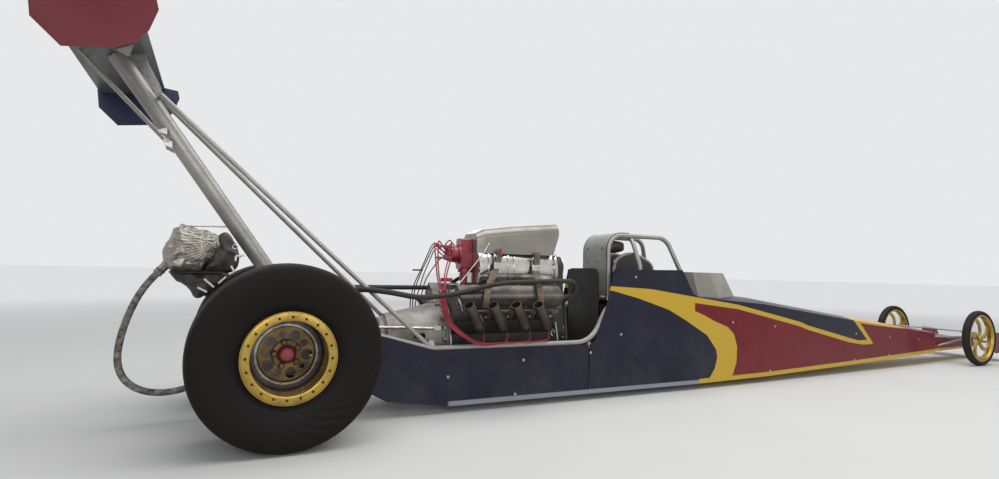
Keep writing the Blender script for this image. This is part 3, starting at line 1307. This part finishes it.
# %% Parachute bags
PACK_OUTLINE = [(-0.425, 0.846), (-0.53, 0.85), (-0.582, 0.882), (-0.586, 0.978), (-0.556, 1.014),
                (-0.538, 1.088), (-0.47, 1.086), (-0.326, 1.052), (-0.316, 0.99), (-0.366, 0.905)]
TIED = (-0.268, 1.022)


def bag_height(place):
    """Crumples all over, and a fan of folds that starts at the tied corner."""
    station, z = place.x - REAR_AXLE_X, place.z
    away, up = station - TIED[0], z - TIED[1]
    distance = math.hypot(away, up)
    wander = noise.noise(place * 9.0)
    wave = math.cos(44.0 * math.atan2(up, -away) + 2.2 * wander)
    fan = 1 - 2 * abs(wave) ** 0.7
    near = min(max((distance - 0.05) / 0.05, 0), 1) * min(max((0.285 - distance) / 0.1, 0), 1)
    upper = min(max((z - 0.905) / 0.05, 0), 1)
    lower = 1 - 0.75 * near * upper
    crumple = 0.6 - abs(noise.noise(place * 15.0 + Vector((4.0, 0, 0)))) * 2.8
    small = 0.5 - abs(noise.noise(place * 37.0)) * 2.4
    return 0.0068 * fan * near * upper + (0.0095 * crumple + 0.0034 * small) * lower


for side, hand in SIDES:
    name = f"parachute_bag_{hand}"
    bag = shell(name, PACK_OUTLINE, side * 0.135 - 0.098, side * 0.135 + 0.098)
    bag = finer(folded(puffed(bag, 0.0055, 0.005, grow=0.02), bag_height))
    dress(bag, silver_cloth)
    print(name, len(bag.data.polygons), "faces")

# %% [markdown]
# Under and in front of each bag is the dark container that throws it out. It is a soft black liner, made as
# the bags are. A sleeve gathers the cloth where the tether leaves the bag, so its section is a rosette.

# %% Dark liners and neck
LINER_OUTLINE = [(-0.566, 0.862), (-0.54, 0.82), (-0.451, 0.762), (-0.424, 0.7), (-0.366, 0.735),
                 (-0.275, 0.806), (-0.27, 0.862)]
FRONT_OUTLINE = [(-0.405, 0.846), (-0.372, 0.93), (-0.34, 0.99), (-0.33, 1.05), (-0.3, 1.074),
                 (-0.262, 1.05), (-0.246, 1.005), (-0.222, 0.94), (-0.23, 0.88), (-0.262, 0.846)]


def liner_height(place):
    return 0.007 * (0.5 - abs(noise.noise(place * 16.0)) * 2.4)


for side, hand in SIDES:
    for part, outline, inner, outer in (("liner", LINER_OUTLINE, 0.03, 0.215),
                                        ("front", FRONT_OUTLINE, 0.072, 0.212)):
        liner = shell(f"parachute_{part}_{hand}", outline, *sorted((side * inner, side * outer)))
        liner = finer(folded(puffed(liner, 0.008, 0.006, pressure=3.0), liner_height))
        dress(liner, container_cloth)


def sleeve(name, start, end, radii, pleats, depth, finish):
    """Gathered sleeve between two points: rings of the given radii with pleats round them."""
    run = (end - start).normalized()
    side = run.cross(Vector((0, 1, 0))).normalized()
    over = run.cross(side)
    corners = []
    steps = pleats * 8
    for index, radius in enumerate(radii):
        middle = start.lerp(end, index / (len(radii) - 1))
        for step in range(steps):
            angle = 2 * math.pi * step / steps
            reach = radius * (1 + depth * math.cos(pleats * angle + 0.6 * index))
            corners.append(middle + side * reach * math.cos(angle) + over * reach * math.sin(angle))
    faces = tube_faces(len(radii), steps)
    faces.append(tuple(range(steps))[::-1])
    faces.append(tuple((len(radii) - 1) * steps + step for step in range(steps)))
    return dress(mesh_piece(name, corners, faces), finish)


neck = sleeve("bag_neck", at(-0.53, -0.08, 0.941), tether_route[0] + Vector((-0.004, 0, -0.005)),
              (0.04, 0.037, 0.031, 0.026, 0.0225, 0.021, 0.0215, 0.0225), 9, 0.09, silver_cloth)
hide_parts("parachute_packs")
cuff_ends = [tether_route[0] + Vector((0.016, 0, 0.02)), tether_route[0] + Vector((0.008, 0, 0.01))]
rods("neck_binding", [cuff_ends], 0.0245, strap_web, 5)
print("liners and neck")

# %% [markdown]
# The release for the parachutes is a thin rod over the bags, from a ring between them to the wing's post. A
# few bright brackets hold the containers on the tray.

# %% Release rod and brackets
def circle(station, y, z, radius, steps):
    """Closed ring of (station, y, height) points, seen round from the side."""
    angles = [math.radians(360 / steps * step) for step in range(steps + 1)]
    return [(station + radius * math.cos(angle), y, z + radius * math.sin(angle)) for angle in angles]


release = [[at(-0.512, 0, 1.104), at(-0.262, 0, 1.112)],
           [at(-0.47, -0.01, 1.082), at(-0.512, 0, 1.104), at(-0.47, 0.01, 1.082)]]
rods("release_rod", release, 0.0045, bare_steel)
rods("release_ring", [[at(*place) for place in circle(-0.514, 0, 1.1, 0.013, 24)]], 0.0032, bare_steel)
brackets = [((-0.389, 0.813), (-0.34, 0.768)), ((-0.263, 0.886), (-0.244, 0.853)),
            ((-0.243, 0.94), (-0.2, 0.944)), ((-0.242, 0.912), (-0.241, 0.938)),
            ((-0.322, 0.789), (-0.285, 0.827)), ((-0.42, 0.768), (-0.372, 0.743))]
bracket_rows = []
for side in (-1, 1):
    for (s0, z0), (s1, z1) in brackets:
        along = Vector((s1 - s0, 0, z1 - z0)).normalized()
        up = Vector((-along.z, 0, along.x)) * 0.0055
        a, b = at(s0, side * 0.219, z0), at(s1, side * 0.219, z1)
        bracket_rows.append(((a - up, b - up, b + up, a + up), (0, side * 0.004, 0)))
plates("container_brackets", bracket_rows, bare_steel, 0.001)
rods("container_eyes", both_sides(circle(-0.248, 0.206, 0.99, 0.012, 18)), 0.0034, bare_steel)
print(len(bracket_rows), "brackets")
# %% [markdown]
# Two black pads protect the driver's helmet: one behind it, on the cage's cross bar, and one over it. A pad
# is a crowned block whose sides pull in between the corners. Both are blown up by the same simulation as
# the parachute bags, from shells that start a little smaller than the solids that they stand for.

# %% Head pads
REAR_PAD = [(2.341, 0.915), (2.341, 1.045), (2.384, 1.045), (2.384, 0.915)]
TOP_PAD = [(2.35, 1.06), (2.35, 1.118), (2.378, 1.14), (2.508, 1.14), (2.512, 1.06)]
vinyl = surface("black_vinyl", (0.02, 0.019, 0.019), (0.03, 0.029, 0.028), patch=12.0, grain=650.0,
                depth=0.00025, rough=(0.36, 0.5), dust=0.2)


def seam_height(seams):
    """Narrow grooves along the given values of y."""
    def height(place):
        gap = min(abs(place.y - seam) for seam in seams)
        return -0.0035 * math.exp(-(gap / 0.0035) ** 2)
    return height


for name, outline, half, seams in (("head_pad_rear", REAR_PAD, 0.106, (-0.06, 0.06)),
                                   ("head_pad_top", TOP_PAD, 0.118, (-0.07, 0.07))):
    pad = shell(name, outline, -half, half, power=7.0)
    pad = finer(folded(puffed(pad, 0.005, 0.008), seam_height(seams)))
    dress(pad, vinyl)
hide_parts("head_pad")

# %% [markdown]
# A padded panel stands on each side of the helmet. Its top edge is an arch with a thick pale rim. The panel
# is a closed shell from the arch's outline, and the rim is a tube along the same arch.

# %% Side panels for the head
ARCH = [(2.4, 0.905), (2.405, 0.962), (2.428, 1.0), (2.478, 1.03), (2.553, 1.049), (2.629, 1.04),
        (2.706, 1.007), (2.758, 0.978), (2.785, 0.935), (2.79, 0.87)]
PANEL_Y = (0.094, 0.118)
panels, rims = [], []
for side, hand in SIDES:
    outline = [*ARCH, (2.78, 0.76), (2.41, 0.76)]
    y0, y1 = sorted((side * PANEL_Y[0], side * PANEL_Y[1]))
    panel = shell(f"head_panel_{hand}", outline, y0, y1, passes=1, power=9.0)
    panels.append(dress(finer(panel), vinyl))
    rims.append([at(s, side * (PANEL_Y[0] + PANEL_Y[1]) / 2, z) for s, z in ARCH])
rim_grey = surface("rim_grey", (0.34, 0.32, 0.285), (0.26, 0.245, 0.22), rough=(0.35, 0.5), dust=0.15)
hoses("head_panel_rims", rims, 0.0135, rim_grey, 4)
stays = both_sides([(2.406, 0.112, 0.985), (2.384, 0.138, 0.985)],
                   [(2.575, 0.112, 1.04), (2.56, 0.15, 1.06)])
rods("head_panel_stays", stays, 0.006, bare_steel)
print(len(panels), "panels")

# %% [markdown]
# The bent sheet behind the head is screwed to straps on the cage's legs, and its cut edge is covered with a
# dark rubber strip. The legs stand in bright clamps on the frame.

# %% Shroud trim
SHROUD_HOLES = [(0.087, 0.976), (-0.035, 0.979), (0.059, 0.826), (-0.064, 0.831), (0.09, 1.08),
                (-0.1, 1.082)]
shroud_screws = [(at(2.2965, y, z), (-1, 0, 0)) for y, z in SHROUD_HOLES]
fasten("shroud_screws", shroud_screws, dark_sheet, sides=16, head=0.0045, height=0.0025,
       washer=0.007)
BEND = (2.438, 1.0637)
BEND_RADIUS = 0.1397
bend_angles = [math.radians(180 - 6 * step) for step in range(16)]
EDGE_ROUTE = [(2.2983, 0.722), *((BEND[0] + BEND_RADIUS * math.cos(a), BEND[1] + BEND_RADIUS * math.sin(a))
                                 for a in bend_angles), (2.512, 1.2034)]
edge_strips = both_sides([(s, 0.15, z) for s, z in EDGE_ROUTE])
rods("shroud_edge_strips", edge_strips, 0.0034, belt_rubber, 2)
leg_clamps = both_sides([(2.318, 0.145, 0.69), (2.318, 0.145, 0.716)])
rods("leg_clamps", leg_clamps, 0.0225, bare_steel, 5)
print("shroud trim")

# %% [markdown]
# Small fasteners hold the body panels: quarter-turn studs and button screws, bright against the navy.

# %% Panel fasteners
def hit_rows(starts, direction, least, lift, reach=0.6):
    """Rows for fasteners where rays from the starts meet the car's skin, if it faces them well enough."""
    graph = bpy.context.evaluated_depsgraph_get()
    direction = Vector(direction)
    rows = []
    for start in starts:
        hit, spot, normal, *_ = scene.ray_cast(graph, start, direction, distance=reach)
        if hit and normal.dot(direction) < -least:
            rows.append((spot + normal * lift, tuple(normal)))
    return rows


STUDS = [(2.323, 0.45), (3.472, 0.513), (3.996, 0.468), (3.926, 0.094), (5.199, 0.365), (5.785, 0.318),
         (6.334, 0.269), (5.766, 0.133), (5.17, 0.118), (1.517, 0.305), (0.985, 0.226), (1.459, 0.086),
         (2.056, 0.33), (2.055, 0.063), (2.455, 0.868)]
OUTSIDE = 0.6
studs = []
for station, z in STUDS:
    for side in (-1, 1):
        studs += hit_rows([at(station, side * OUTSIDE, z)], (0, -side, 0), 0.6, 0.0004)
fasten("panel_studs", studs, bare_steel, sides=16, head=0.0065, height=0.0022,
       washer=0.0095, top=0.7)
print(len(studs), "studs")
# %% [markdown]
# The wing stands on one thick post. Two cheek plates clamp the post's head to the wing, the long front
# braces end in clevises on them, and a triangular gusset stiffens each end plate. Rivets run along the
# wing's ribs, seen from below. A ray cast finds the skin that each rivet sits on.

# %% Wing fittings
def flat_rows(outlines, y, thickness):
    """Plates that lie along the car: four (station, height) corners each, at the given y."""
    return [([at(s, y, z) for s, z in outline], (0, thickness, 0)) for outline in outlines]


CHEEK = [(-0.776, 1.992), (-0.728, 2.002), (-0.66, 1.88), (-0.704, 1.836)]
CLEVIS = [(-0.7, 1.856), (-0.668, 1.868), (-0.636, 1.818), (-0.664, 1.8)]
GUSSET = [(-0.794, 1.822), (-0.701, 1.842), (-0.712, 1.79), (-0.718, 1.784)]
POST_LUGS = [[(-0.655, 1.619), (-0.609, 1.636), (-0.607, 1.596), (-0.648, 1.603)],
             [(-0.626, 1.574), (-0.581, 1.56), (-0.579, 1.52), (-0.622, 1.54)]]
cheeks = []
for outlines, places, thickness in (([CHEEK], (-0.0105, 0.0065), 0.004), ([CLEVIS], (-0.016, 0.011), 0.005),
                                    ([CLEVIS], (-0.056, 0.051), 0.005), (POST_LUGS, (-0.072, 0.067), 0.005)):
    for y in places:
        cheeks += flat_rows(outlines, y, thickness)
plates("wing_head_plates", cheeks, bare_sheet)
gussets = [plate for side in (-1, 1) for plate in flat_rows([GUSSET], side * 0.742 - 0.002, 0.004)]
plates("end_plate_gussets", gussets, dark_wing, 0.0008)
head_bolts = [(at(s, side * y, z), (0, side, 0)) for side in (-1, 1)
              for s, z, y in ((-0.745, 1.972, 0.0105), (-0.715, 1.925, 0.0105), (-0.688, 1.88, 0.0105),
                              (-0.684, 1.85, 0.016), (-0.65, 1.815, 0.056))]
fasten("wing_head_bolts", head_bolts, bare_steel, sides=6, head=0.008, height=0.006,
       washer=0.011)
print("cheeks and bolts:", len(head_bolts))


RIBS = (-0.735, -0.49, -0.245, 0.0, 0.245, 0.49, 0.735)
RIVET_STATIONS = [-1.045 + 0.0215 * step for step in range(16)]
below, above = ([at(station, y, z) for y in RIBS for station in RIVET_STATIONS] for z in (1.9, 2.2))
rivets = hit_rows(below, (0, 0, 1), 0.3, 0.0002) + hit_rows(above, (0, 0, -1), 0.3, 0.0002)
fasten("wing_rivets", rivets, bare_sheet, sides=10, head=0.0035, height=0.0016,
       washer=0.0036, top=0.6, plate=0.0004)
print(len(rivets), "rivets")

# %% [markdown]
# Where a tube ends on another, the race car has a small welded tab and a bolt. The ones at the foot of the
# post and of the braces show in front of the rear tyre.

# %% Brace feet
FOOT = [(0.848, 0.402), (0.905, 0.398), (0.892, 0.452), (0.862, 0.456)]
feet = [plate for side in (-1, 1) for plate in flat_rows([FOOT], side * 0.2835 - 0.002, 0.004)]
plates("brace_feet", feet, bare_steel, 0.0008)
foot_bolts = [(at(0.876, side * 0.286, 0.428), (0, side, 0)) for side in (-1, 1)]
fasten("brace_foot_bolts", foot_bolts, bare_steel, sides=6, head=0.007, height=0.005,
       washer=0.01)
print(len(foot_bolts), "feet")
# %% [markdown]
# The last cell measures the dressed car against the solid model, so that nothing has grown past it, and
# hands the scene over.

# %% Measure and finish
sizes = {"cad": [list(corner) for corner in cad_box], "visual": [list(corner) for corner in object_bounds()]}
for label, (low, high) in sizes.items():
    print(label, "low", [round(v, 3) for v in low], "high", [round(v, 3) for v in high])
